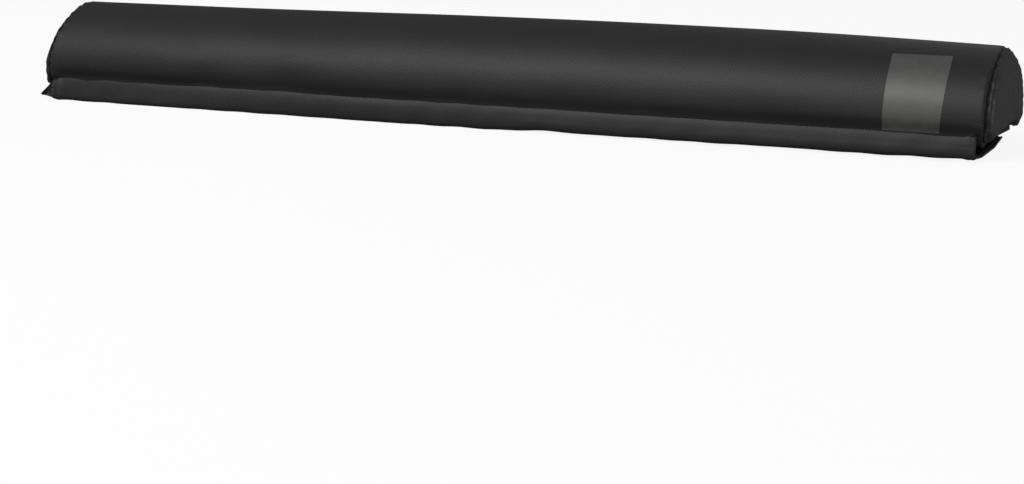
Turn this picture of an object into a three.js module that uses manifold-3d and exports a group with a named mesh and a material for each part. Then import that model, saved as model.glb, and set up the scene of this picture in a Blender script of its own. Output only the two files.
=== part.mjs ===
// Roof rack pad: a foam bar of D section in a sewn woven cover. A flap hangs from the cover's
// front seam, folds under the pad and grips a tape on the base once it is wrapped round a crossbar.
// Millimetres. X runs along the pad, -Y is its front and Z is up.
import * as THREE from 'three';
import { mergeVertices } from 'three/addons/utils/BufferGeometryUtils.js';
import Module from 'manifold-3d';

const wasm = await Module();
wasm.setup();

// Pad body
const PAD_LENGTH = 760; // between the two end seams
const BASE_LIFT = 12; // underside of the base above the folded flap's underside
const BASE_HALF_DEPTH = 52; // half of the flat base, front to back
const WIDEST_HALF_DEPTH = 57.5; // half of the D where it is widest
const WIDEST_HEIGHT = 13; // height of that place above the base
const ARCH_HEIGHT = 61.5; // base to top at the ends
const SHOULDER_HEIGHT = 31; // how far the sides keep rising straight before they turn in
const CROWN_HALF_DEPTH = 18; // half of the flatter strip along the top
const CROWN_RISE = 3.8; // how much taller the pad is at mid-length than at its ends
const SEAM_PULL = 1.6; // how far the end seams draw the cover in
const SEAM_REACH = 9; // length over which they do so
const CAP_BULGE = 4.3; // how far an end cap stands out past its seam

// Sheets and tapes
const COVER_THICK = 1; // woven polyester with its backing
const FLAP_THICK = 1.2; // two layers of the same cloth
const HOOK_THICK = 1.6; // hook tape with its hooks
const LOOP_THICK = 2.2; // loop tape with its pile
const PATCH_THICK = 0.4; // smooth transfer film
const SEAM_GAP = 0.3; // clearance between sewn or touching pieces

// Closure flap
const BAND_TOP = 19.4; // height of the front seam that the flap hangs from
const FOLD_RADIUS = 2.2; // of the flap's centre line where it turns under
const CURL_START = 8; // Y where the free edge begins to lift
const FLAP_EDGE_DEPTH = 29; // Y of the free edge
const FLAP_EDGE_LIFT = 3.6; // how far the free edge lifts
const FLAP_LEFT_INSET = 3; // from the left end seam to the flap's end
const FLAP_RIGHT_INSET = 6; // from the right end seam to the flap's end
const CORNER_REACH = 14; // how far the flap's left lower corner sticks out
const CORNER_SWING = 7; // how far back that corner's tip lies
const CORNER_TIP_HEIGHT = 4.6; // height of that tip
const CORNER_TOP = 12; // where the corner leaves the band's end

// Tapes on the flap and on the base
const HOOK_END_INSET = 3; // hook tape, in from each end of the flap
const HOOK_EDGE_INSET = 2; // hook tape, in from the free edge
const LOOP_FRONT = -10; // Y of the loop tape's front edge
const LOOP_WIDTH = 44;
const LOOP_END_INSET = 1.5; // loop tape, in from each end seam

// Plain patch on the front
const PATCH_WIDTH = 43.5;
const PATCH_END_INSET = 31; // from the right end seam
const PATCH_TOP = 56; // height of its upper edge above the base, before the crown
const PATCH_CLEARANCE = 0.6; // above the flap's seam

// Mesh density
const ARCH_STEPS = 30;
const LENGTH_STEPS = 8;
const CURVE_STEPS = 5;
const DOME_SHARES = [1, 0.93, 0.8, 0.6, 0.3];

const HALF_LENGTH = PAD_LENGTH / 2;
const PANEL_FLOOR = COVER_THICK + SEAM_GAP; // height where the top panel starts, above the base
const CAP_INNER_BULGE = CAP_BULGE - COVER_THICK - SEAM_GAP;

const COLOURS = { cover: 0x232322, foam: 0x3a3a3c, hook: 0x161617, loop: 0x1c1c1e, patch: 0x6a6a67 };

function finish(colour, roughness) {
  return new THREE.MeshStandardMaterial({ color: colour, roughness, metalness: 0 });
}

// The D's outline from the back lower corner over the top to the front lower corner, as Y and
// height above the base.
function sideCurve(side) {
  return new THREE.CubicBezierCurve(
    new THREE.Vector2(side * WIDEST_HALF_DEPTH, WIDEST_HEIGHT),
    new THREE.Vector2(side * WIDEST_HALF_DEPTH, WIDEST_HEIGHT + SHOULDER_HEIGHT),
    new THREE.Vector2(side * CROWN_HALF_DEPTH, ARCH_HEIGHT),
    new THREE.Vector2(0, ARCH_HEIGHT),
  );
}

function archOutline() {
  const corner = WIDEST_HALF_DEPTH - BASE_HALF_DEPTH;
  const rise = WIDEST_HEIGHT - PANEL_FLOOR;
  const path = new THREE.Path();
  path.moveTo(BASE_HALF_DEPTH, PANEL_FLOOR);
  path.bezierCurveTo(
    BASE_HALF_DEPTH + corner * 0.7, PANEL_FLOOR + rise * 0.1,
    WIDEST_HALF_DEPTH, PANEL_FLOOR + rise * 0.5,
    WIDEST_HALF_DEPTH, WIDEST_HEIGHT,
  );
  const back = sideCurve(1);
  path.bezierCurveTo(back.v1.x, back.v1.y, back.v2.x, back.v2.y, back.v3.x, back.v3.y);
  const front = sideCurve(-1);
  path.bezierCurveTo(front.v2.x, front.v2.y, front.v1.x, front.v1.y, front.v0.x, front.v0.y);
  path.bezierCurveTo(
    -WIDEST_HALF_DEPTH, PANEL_FLOOR + rise * 0.5,
    -BASE_HALF_DEPTH - corner * 0.7, PANEL_FLOOR + rise * 0.1,
    -BASE_HALF_DEPTH, PANEL_FLOOR,
  );
  return path.getSpacedPoints(ARCH_STEPS);
}

const ARCH = archOutline();

// Moves a line of points sideways: to its left where the distance is positive.
function offsetLine(points, distance) {
  return points.map((point, i) => {
    const before = points[Math.max(i - 1, 0)];
    const after = points[Math.min(i + 1, points.length - 1)];
    const along = after.clone().sub(before).normalize();
    return new THREE.Vector2(point.x - along.y * distance, point.y + along.x * distance);
  });
}

function crownAt(x) {
  const share = x / HALF_LENGTH;
  return 1 + (CROWN_RISE / ARCH_HEIGHT) * (1 - share * share);
}

function seamPullAt(x) {
  const share = Math.max(0, 1 - (HALF_LENGTH - Math.abs(x)) / SEAM_REACH);
  return SEAM_PULL * share * share;
}

// The cover's outline at one place along the pad, moved inwards, as Y and Z.
function archAt(x, inset) {
  const crown = crownAt(x);
  const crowned = ARCH.map((point) => new THREE.Vector2(point.x, point.y * crown));
  return offsetLine(crowned, inset + seamPullAt(x)).map((p) => new THREE.Vector2(p.x, p.y + BASE_LIFT));
}

// Closes an arch with a flat base at the height given.
function closedSection(arch, floor, chamfer) {
  const back = new THREE.Vector2(arch[0].x - chamfer, floor);
  const front = new THREE.Vector2(arch[arch.length - 1].x + chamfer, floor);
  return [back, ...arch, front];
}

function stations() {
  const seam = [0, SEAM_REACH / 3, (SEAM_REACH * 2) / 3];
  const inner = HALF_LENGTH - SEAM_REACH;
  const middle = Array.from({ length: LENGTH_STEPS + 1 }, (_, i) => inner * ((2 * i) / LENGTH_STEPS - 1));
  return [...seam.map((d) => d - HALF_LENGTH), ...middle, ...seam.map((d) => HALF_LENGTH - d).reverse()];
}

function ringAt(x, section) {
  return section.map((point) => new THREE.Vector3(x, point.x, point.y));
}

// A closed body through rings of equal count that run towards +X. An end is flat, or it closes in
// a point where one is given.
function skin(rings, startPoint = null, endPoint = null) {
  const count = rings[0].length;
  const positions = rings.flat().flatMap((p) => [p.x, p.y, p.z]);
  const index = [];
  for (let i = 0; i + 1 < rings.length; i += 1) {
    for (let j = 0; j < count; j += 1) {
      const a = i * count + j;
      const b = i * count + ((j + 1) % count);
      index.push(a, b, b + count, a, b + count, a + count);
    }
  }
  const closeEnd = (ring, first, point, towardsX) => {
    const turn = (a, b, c) => (towardsX ? index.push(a, b, c) : index.push(a, c, b));
    if (point) {
      const pole = positions.length / 3;
      positions.push(point.x, point.y, point.z);
      ring.forEach((_, j) => turn(pole, first + j, first + ((j + 1) % count)));
    } else {
      const flat = ring.map((p) => new THREE.Vector2(p.y, p.z));
      THREE.ShapeUtils.triangulateShape(flat, []).forEach(([a, b, c]) => turn(first + a, first + b, first + c));
    }
  };
  closeEnd(rings[0], 0, startPoint, false);
  closeEnd(rings[rings.length - 1], (rings.length - 1) * count, endPoint, true);
  const geometry = new THREE.BufferGeometry();
  geometry.setAttribute('position', new THREE.Float32BufferAttribute(positions, 3));
  geometry.setIndex(index);
  geometry.computeVertexNormals();
  return geometry;
}

// A strip of even thickness along a path, between two distances to the path's left.
function ribbonSection(path, near, far) {
  return [...offsetLine(path, near), ...offsetLine(path, far).reverse()];
}

function toManifold(geometry) {
  const bare = geometry.clone();
  bare.deleteAttribute('normal');
  bare.deleteAttribute('uv');
  const merged = mergeVertices(bare);
  return new wasm.Manifold(new wasm.Mesh({
    numProp: 3,
    vertProperties: new Float32Array(merged.attributes.position.array),
    triVerts: new Uint32Array(merged.index.array),
  }));
}

function fromManifold(solid) {
  const mesh = solid.getMesh();
  const geometry = new THREE.BufferGeometry();
  geometry.setAttribute('position', new THREE.BufferAttribute(mesh.vertProperties, 3));
  geometry.setIndex(new THREE.BufferAttribute(mesh.triVerts, 1));
  geometry.computeVertexNormals();
  return geometry;
}

function box(low, high) {
  const size = high.clone().sub(low);
  const middle = low.clone().add(high).multiplyScalar(0.5);
  return new THREE.BoxGeometry(size.x, size.y, size.z).translate(middle.x, middle.y, middle.z);
}

function piece(name, geometry, material) {
  const mesh = new THREE.Mesh(geometry, material);
  mesh.name = name;
  return mesh;
}

// One panel that wraps the front, the top and the back.
function coverTopPanel() {
  const rings = stations().map((x) => ringAt(x, [...archAt(x, 0), ...archAt(x, COVER_THICK).reverse()]));
  return piece('cover_top_panel', skin(rings), finish(COLOURS.cover, 0.75));
}

// The flat panel that closes the cover underneath.
function coverBasePanel() {
  const low = new THREE.Vector3(-HALF_LENGTH, -BASE_HALF_DEPTH, BASE_LIFT);
  const high = new THREE.Vector3(HALF_LENGTH, BASE_HALF_DEPTH, BASE_LIFT + COVER_THICK);
  return piece('cover_base_panel', box(low, high), finish(COLOURS.cover, 0.8));
}

function domeHeight(share) {
  return 1 - share * share * share;
}

function shrunk(section, share) {
  const centre = new THREE.Vector2(0, BASE_LIFT + ARCH_HEIGHT / 2);
  return section.map((p) => p.clone().sub(centre).multiplyScalar(share).add(centre));
}

// The foam bar, with ends that bulge as the caps do.
function foamCore() {
  const inset = COVER_THICK + SEAM_GAP;
  const sectionAt = (x) => closedSection(archAt(x, inset), BASE_LIFT + PANEL_FLOOR, 2 * COVER_THICK);
  const middle = stations().map((x) => ringAt(x, sectionAt(x)));
  const end = (share, side) => ringAt(
    side * (HALF_LENGTH + CAP_INNER_BULGE * domeHeight(share)),
    shrunk(sectionAt(side * HALF_LENGTH), share),
  );
  const shares = DOME_SHARES.slice(1);
  const left = shares.map((share) => end(share, -1)).reverse();
  const right = shares.map((share) => end(share, 1));
  const pole = (side) => new THREE.Vector3(
    side * (HALF_LENGTH + CAP_INNER_BULGE), 0, BASE_LIFT + ARCH_HEIGHT / 2,
  );
  return piece('foam_core', skin([...left, ...middle, ...right], pole(-1), pole(1)), finish(COLOURS.foam, 0.9));
}

// A D-shaped end panel, domed by the foam behind it.
function endCap(name, side) {
  const section = closedSection(archAt(HALF_LENGTH, 0), BASE_LIFT, COVER_THICK);
  const layer = (depth) => DOME_SHARES.map((share) => ringAt(
    side * (HALF_LENGTH + SEAM_GAP + depth + CAP_INNER_BULGE * domeHeight(share)),
    shrunk(section, share),
  ));
  const pole = (depth) => new THREE.Vector3(
    side * (HALF_LENGTH + SEAM_GAP + depth + CAP_INNER_BULGE), 0, BASE_LIFT + ARCH_HEIGHT / 2,
  );
  const inner = layer(0).reverse();
  const outer = layer(COVER_THICK);
  const rings = side > 0 ? [...inner, ...outer] : [...inner, ...outer].reverse();
  const start = side > 0 ? pole(0) : pole(COVER_THICK);
  const end = side > 0 ? pole(COVER_THICK) : pole(0);
  return piece(name, skin(rings, start, end), finish(COLOURS.cover, 0.75));
}

const BAND_Y = -(WIDEST_HALF_DEPTH + SEAM_GAP + FLAP_THICK / 2);
const UNDER_Z = FLAP_THICK / 2;
const FLAP_LEFT = -(HALF_LENGTH - FLAP_LEFT_INSET);
const FLAP_RIGHT = HALF_LENGTH - FLAP_RIGHT_INSET;

// The flap's centre line behind the fold: back under the pad, then up at the free edge.
function underPath(edgeInset) {
  const curl = new THREE.QuadraticBezierCurve(
    new THREE.Vector2(CURL_START, UNDER_Z),
    new THREE.Vector2((CURL_START + FLAP_EDGE_DEPTH) / 2, UNDER_Z),
    new THREE.Vector2(FLAP_EDGE_DEPTH, UNDER_Z + FLAP_EDGE_LIFT),
  );
  const whole = curl.getLength();
  const kept = (whole - edgeInset) / whole;
  const lift = Array.from({ length: CURVE_STEPS + 1 }, (_, i) => curl.getPointAt((kept * i) / CURVE_STEPS));
  return [new THREE.Vector2(BAND_Y + FOLD_RADIUS, UNDER_Z), ...lift];
}

function flapPath() {
  const fold = new THREE.Path();
  fold.absarc(BAND_Y + FOLD_RADIUS, UNDER_Z + FOLD_RADIUS, FOLD_RADIUS, Math.PI, Math.PI * 1.5, false);
  const bend = fold.getPoints(CURVE_STEPS);
  return [new THREE.Vector2(BAND_Y, BAND_TOP), ...bend, ...underPath(0).slice(1)];
}

// The lower left corner of the flap, which sticks out past the pad's end as a small triangle.
function flapCorner() {
  const rootX = FLAP_LEFT + FLAP_THICK;
  const face = (y) => [
    new THREE.Vector3(rootX, y, CORNER_TOP),
    new THREE.Vector3(rootX, y, UNDER_Z),
    new THREE.Vector3(FLAP_LEFT - CORNER_REACH, y + CORNER_SWING, CORNER_TIP_HEIGHT),
  ];
  const points = [...face(BAND_Y - FLAP_THICK / 2), ...face(BAND_Y + FLAP_THICK / 2)];
  const geometry = new THREE.BufferGeometry().setFromPoints(points);
  geometry.setIndex([0, 2, 1, 3, 4, 5, 0, 1, 4, 0, 4, 3, 1, 2, 5, 1, 5, 4, 2, 0, 3, 2, 3, 5]);
  return geometry;
}

function closureFlap() {
  const section = ribbonSection(flapPath(), -FLAP_THICK / 2, FLAP_THICK / 2);
  const sheet = skin([ringAt(FLAP_LEFT, section), ringAt(FLAP_RIGHT, section)]);
  const joined = toManifold(sheet).add(toManifold(flapCorner()));
  return piece('closure_flap', fromManifold(joined), finish(COLOURS.cover, 0.75));
}

// Hook tape on the face of the flap that turns towards the crossbar.
function hookStrip() {
  const near = FLAP_THICK / 2 + SEAM_GAP;
  const section = ribbonSection(underPath(HOOK_EDGE_INSET), near, near + HOOK_THICK);
  const rings = [FLAP_LEFT + HOOK_END_INSET, FLAP_RIGHT - HOOK_END_INSET].map((x) => ringAt(x, section));
  return piece('hook_strip', skin(rings), finish(COLOURS.hook, 0.6));
}

// Loop tape under the base, which the hooks grip.
function loopStrip() {
  const top = BASE_LIFT - SEAM_GAP;
  const end = HALF_LENGTH - LOOP_END_INSET;
  const low = new THREE.Vector3(-end, LOOP_FRONT, top - LOOP_THICK);
  const high = new THREE.Vector3(end, LOOP_FRONT + LOOP_WIDTH, top);
  return piece('loop_strip', box(low, high), finish(COLOURS.loop, 0.95));
}

// The share of a side curve at which it reaches a height.
function shareAtHeight(curve, height) {
  let low = 0;
  let high = 1;
  for (let i = 0; i < 40; i += 1) {
    const middle = (low + high) / 2;
    if (curve.getPoint(middle).y < height) low = middle;
    else high = middle;
  }
  return low;
}

// A plain smooth patch on the front, near the right end.
function transferPatch() {
  const curve = sideCurve(-1);
  const steps = CURVE_STEPS * 2;
  const bottom = BAND_TOP - BASE_LIFT + PATCH_CLEARANCE;
  const lowest = new THREE.Vector2(-WIDEST_HALF_DEPTH, bottom);
  const lowShare = shareAtHeight(curve, Math.max(bottom, WIDEST_HEIGHT));
  const highShare = shareAtHeight(curve, PATCH_TOP);
  const rise = Array.from({ length: steps + 1 }, (_, i) => (
    curve.getPoint(highShare + ((lowShare - highShare) * i) / steps)
  ));
  const line = bottom < WIDEST_HEIGHT ? [...rise, lowest] : rise;
  const right = HALF_LENGTH - PATCH_END_INSET;
  const rings = [right - PATCH_WIDTH, right].map((x) => {
    const crowned = line.map((p) => new THREE.Vector2(p.x, p.y * crownAt(x) + BASE_LIFT));
    return ringAt(x, ribbonSection(crowned, -SEAM_GAP - PATCH_THICK, -SEAM_GAP));
  });
  return piece('transfer_patch', skin(rings), finish(COLOURS.patch, 0.45));
}

const pad = new THREE.Group();
pad.add(
  foamCore(),
  coverTopPanel(),
  coverBasePanel(),
  endCap('end_cap_left', -1),
  endCap('end_cap_right', 1),
  closureFlap(),
  hookStrip(),
  loopStrip(),
  transferPatch(),
);

// The origin is the middle of the whole pad's lowest plane.
const bounds = new THREE.Box3().setFromObject(pad);
const middle = bounds.getCenter(new THREE.Vector3());
pad.position.set(-middle.x, -middle.y, -bounds.min.z);

export default pad;
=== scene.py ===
"""The looks of a foam roof rack pad: its sewn woven cover, end panels, closure flap and tapes."""

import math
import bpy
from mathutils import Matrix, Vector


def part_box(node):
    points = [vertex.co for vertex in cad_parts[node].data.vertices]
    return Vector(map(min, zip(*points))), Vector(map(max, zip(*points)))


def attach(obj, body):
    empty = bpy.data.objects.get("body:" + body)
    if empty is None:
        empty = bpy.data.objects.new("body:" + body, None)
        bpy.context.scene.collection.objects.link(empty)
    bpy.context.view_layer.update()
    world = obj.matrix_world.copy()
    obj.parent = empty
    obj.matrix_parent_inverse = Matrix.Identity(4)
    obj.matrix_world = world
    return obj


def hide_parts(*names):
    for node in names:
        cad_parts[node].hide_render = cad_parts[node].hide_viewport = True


bl_info = {
    "name": "Roof Rack Pad",
    "version": (1, 0, 0),
    "blender": (4, 5, 0),
    "location": "3D View > Sidebar > Rack Pad",
    "description": "Sews the cover, flap, tapes and seams of a foam roof rack pad and lights them",
    "category": "Add Mesh",
}

import bpy
import numpy as np
from bpy.props import FloatProperty, FloatVectorProperty, PointerProperty, StringProperty
from mathutils import Vector

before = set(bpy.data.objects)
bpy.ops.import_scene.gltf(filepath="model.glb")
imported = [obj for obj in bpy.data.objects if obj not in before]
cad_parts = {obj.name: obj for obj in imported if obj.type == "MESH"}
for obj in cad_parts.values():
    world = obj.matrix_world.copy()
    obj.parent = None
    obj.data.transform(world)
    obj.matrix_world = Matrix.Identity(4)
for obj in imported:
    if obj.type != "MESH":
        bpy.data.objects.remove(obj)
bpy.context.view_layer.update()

MM = 0.001
COVER_LOW, COVER_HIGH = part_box("cover_top_panel")
BASE_LOW, BASE_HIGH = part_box("cover_base_panel")
FLAP_LOW, FLAP_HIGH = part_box("closure_flap")
HOOK_LOW, HOOK_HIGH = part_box("hook_strip")
LOOP_LOW, LOOP_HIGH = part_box("loop_strip")
PATCH_LOW, PATCH_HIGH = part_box("transfer_patch")
CAP_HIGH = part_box("end_cap_right")[1]

# The middle of the sewn body, and half its length and depth.
MID_X = (COVER_LOW.x + COVER_HIGH.x) / 2
MID_Y = (BASE_LOW.y + BASE_HIGH.y) / 2
HALF_LENGTH = (COVER_HIGH.x - COVER_LOW.x) / 2
HALF_DEPTH = (COVER_HIGH.y - COVER_LOW.y) / 2
BASE_HALF_DEPTH = (BASE_HIGH.y - BASE_LOW.y) / 2
BASE_Z = BASE_LOW.z

# The cover's plain arch at its ends. The end seams draw the cloth in from it.
END_ARCH = CAP_HIGH.z - BASE_Z + 1.6 * MM

# The flap's hanging face, which stands clear of the body, and its two ends.
FLAP_FACE = -(HALF_DEPTH + 1.2 * MM)
FLAP_LEFT = -HALF_LENGTH + 3 * MM
FLAP_RIGHT = FLAP_HIGH.x - MID_X

# How full the pad is along its length, from its left end at -1 to its right end at 1.
CROWN_SHAPE = ((-1, 0.08), (-0.53, 0.35), (-0.1, 0.83), (0.29, 1.0), (0.66, 0.83), (1, 0.23))

# How a domed end panel leaves its seam, in millimetres: the distance out from the seam, and
# inward from the cover's outline.
CAP_PROFILE = ((0, 2.9), (0.5, 2.5), (1.3, 1.5), (2.9, 1.4), (4.3, 2.6), (5.2, 4.8), (5.6, 9.0))

# Each end panel: its side and its name, the heights between which its dome gets flatter, how much
# flatter it gets, and how much less it stands out at the base.
END_PANELS = (
    (-1, "left", 26 * MM, 60 * MM, 1.15, -0.6),
    (1, "right", 50 * MM, COVER_HIGH.z, 0.6, 0.35),
)

# Soft dents above the flap's seam: place along the pad, reach, height above the seam, and depth.
DENTS = (
    (-234 * MM, 16 * MM, 6 * MM, 1.0 * MM),
    (-163 * MM, 20 * MM, 7 * MM, 0.9 * MM),
    (70 * MM, 26 * MM, 6 * MM, 0.5 * MM),
    (215 * MM, 24 * MM, 7 * MM, 0.4 * MM),
)
DENT_RISE = 9 * MM

# Irregular waves are a sum of this many, with lengths spread about the one asked for, divided by
# the usual height of their peaks.
WAVE_COUNT = 5
WAVE_SPREAD = (0.75, 1.45)
WAVE_PEAK = 1.5

# How deep the foam lies inside the cover.
FOAM_CLEARANCE = 4.5 * MM

# Where the hook tape starts, down the flap from its seam.
HOOK_START = 28 * MM

# The studio's soft lamps: name, place, width and height in metres. All point at the pad's middle.
LAMPS = (
    ("key", (-0.7, -1.6, 2.1), 1.8, 0.9),
    ("fill", (0.55, -2.6, 0.55), 1.6, 0.8),
    ("right", (2.6, 0.2, 0.22), 1.2, 0.4),
    ("left", (-2.4, 0.4, 0.3), 1.2, 0.5),
    ("back", (0.4, 2.3, 1.5), 1.6, 0.6),
)
LAMP_TARGET = (0, 0, 0.04)

# The floor as the camera sees it, the darker tone that it throws back at the pad, and how much of
# it shows as plain white.
FLOOR_COLOUR = "#f2f2f2"
FLOOR_BOUNCE = "#7d7d7d"
FLOOR_GLOW = 0.9
WHITE = (1, 1, 1, 1)
SENSOR_WIDTH = 36


class CoverSettings(bpy.types.PropertyGroup):
    crown_rise: FloatProperty(
        name="Crown rise", description="How much taller the pad is where it is fullest",
        default=4.8 * MM, unit="LENGTH",
    )
    widest_height: FloatProperty(
        name="Widest height", description="Height above the base where the section is widest",
        default=13 * MM, unit="LENGTH",
    )
    shoulder_height: FloatProperty(
        name="Shoulder height", description="How far the sides rise before they turn in",
        default=31 * MM, unit="LENGTH",
    )
    crown_half_depth: FloatProperty(
        name="Crown half depth", description="Half of the flatter strip along the top",
        default=18 * MM, unit="LENGTH",
    )
    cloth_thickness: FloatProperty(
        name="Cloth thickness", description="Woven polyester with its backing", default=0.9 * MM,
        unit="LENGTH",
    )
    seam_depth: FloatProperty(
        name="Seam depth", description="How deep the end seams draw the cloth in", default=2.9 * MM,
        unit="LENGTH",
    )
    seam_reach: FloatProperty(
        name="Seam reach", description="Length over which an end seam rounds the cover",
        default=1.5 * MM, unit="LENGTH",
    )
    pucker_height: FloatProperty(
        name="Pucker height", description="Height of the gathers beside the end seams",
        default=0.65 * MM, unit="LENGTH",
    )
    pucker_length: FloatProperty(
        name="Pucker length", description="Distance between gathers along the seam", default=8 * MM,
        unit="LENGTH",
    )
    crease_depth: FloatProperty(
        name="Crease depth", description="How deep the flap's seam lies in the front",
        default=1.45 * MM, unit="LENGTH",
    )
    ripple: FloatProperty(
        name="Ripple", description="Height of the long soft waves in the cloth", default=0.35 * MM,
        unit="LENGTH",
    )
    weave_pitch: FloatProperty(
        name="Weave pitch", description="Width of one thread crossing", default=1.25 * MM,
        unit="LENGTH",
    )
    thread_colour: StringProperty(
        name="Thread colour", description="Crowns of the threads, sRGB hex", default="#252524",
    )
    # Painted shade: the gaps between threads are coloured darker than the thread, standing for the
    # shade in the weave's hollows.
    gap_shade_colour: StringProperty(
        name="Gap colour", description="Shade between the threads, sRGB hex", default="#121212",
    )


class FlapSettings(bpy.types.PropertyGroup):
    thickness: FloatProperty(
        name="Thickness", description="Two layers of cloth", default=1.3 * MM, unit="LENGTH",
    )
    crease_height: FloatProperty(
        name="Crease height", description="Height of the seam that the flap hangs from",
        default=19.4 * MM, unit="LENGTH",
    )
    hem_width: FloatProperty(
        name="Hem width", description="Turned and stitched ends of the flap", default=9 * MM,
        unit="LENGTH",
    )
    hem_step: FloatProperty(
        name="Hem step", description="How far a hem stands proud", default=0.5 * MM, unit="LENGTH",
    )
    wave: FloatProperty(
        name="Wave", description="Height of the long waves in the hanging face", default=0.4 * MM,
        unit="LENGTH",
    )


class TapeSettings(bpy.types.PropertyGroup):
    hook_pitch: FloatProperty(
        name="Hook pitch", description="Distance between hooks, coarse enough to show",
        default=2.4 * MM, unit="LENGTH",
    )
    hook_height: FloatProperty(
        name="Hook height", description="Height of a hook above its tape", default=1.1 * MM,
        unit="LENGTH",
    )
    pile_height: FloatProperty(
        name="Pile height", description="Unevenness of the loop pile", default=0.5 * MM,
        unit="LENGTH",
    )
    hook_colour: StringProperty(name="Hook colour", description="sRGB hex", default="#1a1a1b")
    loop_colour: StringProperty(name="Loop colour", description="sRGB hex", default="#1a1a1b")


class PatchSettings(bpy.types.PropertyGroup):
    thickness: FloatProperty(
        name="Thickness", description="Smooth transfer film", default=0.4 * MM, unit="LENGTH",
    )
    colour: StringProperty(name="Colour", description="sRGB hex", default="#40403e")


class SeamSettings(bpy.types.PropertyGroup):
    stitch_pitch: FloatProperty(
        name="Stitch pitch", description="Distance between stitches", default=3.6 * MM,
        unit="LENGTH",
    )
    stitch_length: FloatProperty(
        name="Stitch length", description="Visible length of one stitch", default=2.7 * MM,
        unit="LENGTH",
    )
    thread_radius: FloatProperty(
        name="Thread radius", description="Half the sewing thread's width", default=0.28 * MM,
        unit="LENGTH",
    )
    colour: StringProperty(name="Colour", description="sRGB hex", default="#1b1b1b")


class StageSettings(bpy.types.PropertyGroup):
    camera_place: FloatVectorProperty(
        name="Camera place", description="From the middle of the pad's body", size=3,
        default=(0.6883, -1.6002, 0.2769), unit="LENGTH",
    )
    camera_turn: FloatProperty(
        name="Camera turn", description="How far the view turns to the left", default=0.404,
        subtype="ANGLE",
    )
    camera_dip: FloatProperty(
        name="Camera dip", description="How far the view looks down", default=0.212,
        subtype="ANGLE",
    )
    lens: FloatProperty(name="Lens", description="On a 36 mm sensor, in millimetres", default=80.23)
    key_power: FloatProperty(name="Key power", description="Lamp above the front", default=55.0)
    fill_power: FloatProperty(name="Fill power", description="Low lamp in front", default=10.5)
    right_power: FloatProperty(name="Right power", description="Low lamp at right", default=20.0)
    left_power: FloatProperty(name="Left power", description="Low lamp at left", default=8.0)
    back_power: FloatProperty(name="Back power", description="High lamp behind", default=5.0)
    ambient: FloatProperty(name="Ambient", description="Strength of the room's light", default=0.13)
    mirrored: FloatProperty(
        name="Mirrored white", description="Share of the white surroundings that surfaces mirror",
        default=0.06,
    )


def linear_colour(hex_colour):
    """An sRGB hex colour as linear red, green, blue and alpha."""
    channels = [int(hex_colour[i:i + 2], 16) / 255 for i in (1, 3, 5)]
    return [c / 12.92 if c <= 0.04045 else ((c + 0.055) / 1.055) ** 2.4 for c in channels] + [1.0]


def add_node(tree, kind, inputs=None, **settings):
    """Adds a node. inputs gives values, or output sockets to link from."""
    node = tree.nodes.new(kind)
    for name, value in settings.items():
        setattr(node, name, value)
    for name, value in (inputs or {}).items():
        if isinstance(value, bpy.types.NodeSocket):
            tree.links.new(value, node.inputs[name])
        else:
            node.inputs[name].default_value = value
    return node


def blank_material(name):
    """A new material and its node tree, with no nodes yet."""
    material = bpy.data.materials.new(name)
    material.use_nodes = True
    material.node_tree.nodes.clear()
    return material, material.node_tree


def close_material(tree, shader):
    """Joins the finished shader to the material's output."""
    add_node(tree, "ShaderNodeOutputMaterial", {"Surface": shader.outputs[0]})


# Cloth sections, as Y and height, and the shapes that are laid over them


def bezier(corners, count):
    """That many points on the curve that four corners pull."""
    t = np.linspace(0, 1, count)[:, None]
    a, b, c, d = (np.array(corner, float) for corner in corners)
    return (1 - t) ** 3 * a + 3 * (1 - t) ** 2 * t * b + 3 * (1 - t) * t * t * c + t ** 3 * d


def smooth_line(points, steps=12):
    """A curve through the points given, as closely spaced points."""
    points = np.array(points, float)
    padded = np.vstack([2 * points[0] - points[1], points, 2 * points[-1] - points[-2]])
    found = []
    for i in range(len(points) - 1):
        a, b, c, d = padded[i:i + 4]
        t = np.linspace(0, 1, steps, endpoint=False)[:, None]
        found.append(
            0.5 * (2 * b + (c - a) * t + (2 * a - 5 * b + 4 * c - d) * t ** 2
                   + (3 * b - a - 3 * c + d) * t ** 3)
        )
    return np.vstack(found + [points[-1:]])


def distances(points):
    """How far along the line each of its points lies."""
    return np.concatenate([[0], np.cumsum(np.linalg.norm(np.diff(points, axis=0), axis=1))])


class Line:
    """A line in the section's plane that can be read at any distance along it."""

    def __init__(self, points):
        self.points = np.array(points, float)
        self.places = distances(self.points)
        self.length = self.places[-1]
        slope = np.gradient(self.points, self.places, axis=0)
        self.slope = slope / np.linalg.norm(slope, axis=1)[:, None]

    def at(self, place):
        return np.stack([np.interp(place, self.places, self.points[:, i]) for i in (0, 1)], -1)

    def slope_at(self, place):
        found = np.stack([np.interp(place, self.places, self.slope[:, i]) for i in (0, 1)], -1)
        return found / np.linalg.norm(found, axis=-1, keepdims=True)

    def place_at_height(self, height):
        """The first distance along the line at which it is that high."""
        above = np.argmax(self.points[:, 1] >= height)
        return self.places[above]


def cover_line(settings):
    """The cover's outline from the front corner of the base, over the top, to the back corner."""
    widest = (-HALF_DEPTH, settings.widest_height)
    shoulder = (-HALF_DEPTH, settings.widest_height + settings.shoulder_height)
    corner = bezier(
        [(-BASE_HALF_DEPTH, 0.2 * MM), (-HALF_DEPTH + MM, 1.2 * MM),
         (-HALF_DEPTH, settings.widest_height * 0.5), widest],
        16,
    )
    side = bezier([widest, shoulder, (-settings.crown_half_depth, END_ARCH), (0, END_ARCH)], 60)
    front = np.vstack([corner[:-1], side])
    back = front[::-1][1:] * [-1, 1]
    return Line(np.vstack([front, back]))


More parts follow.
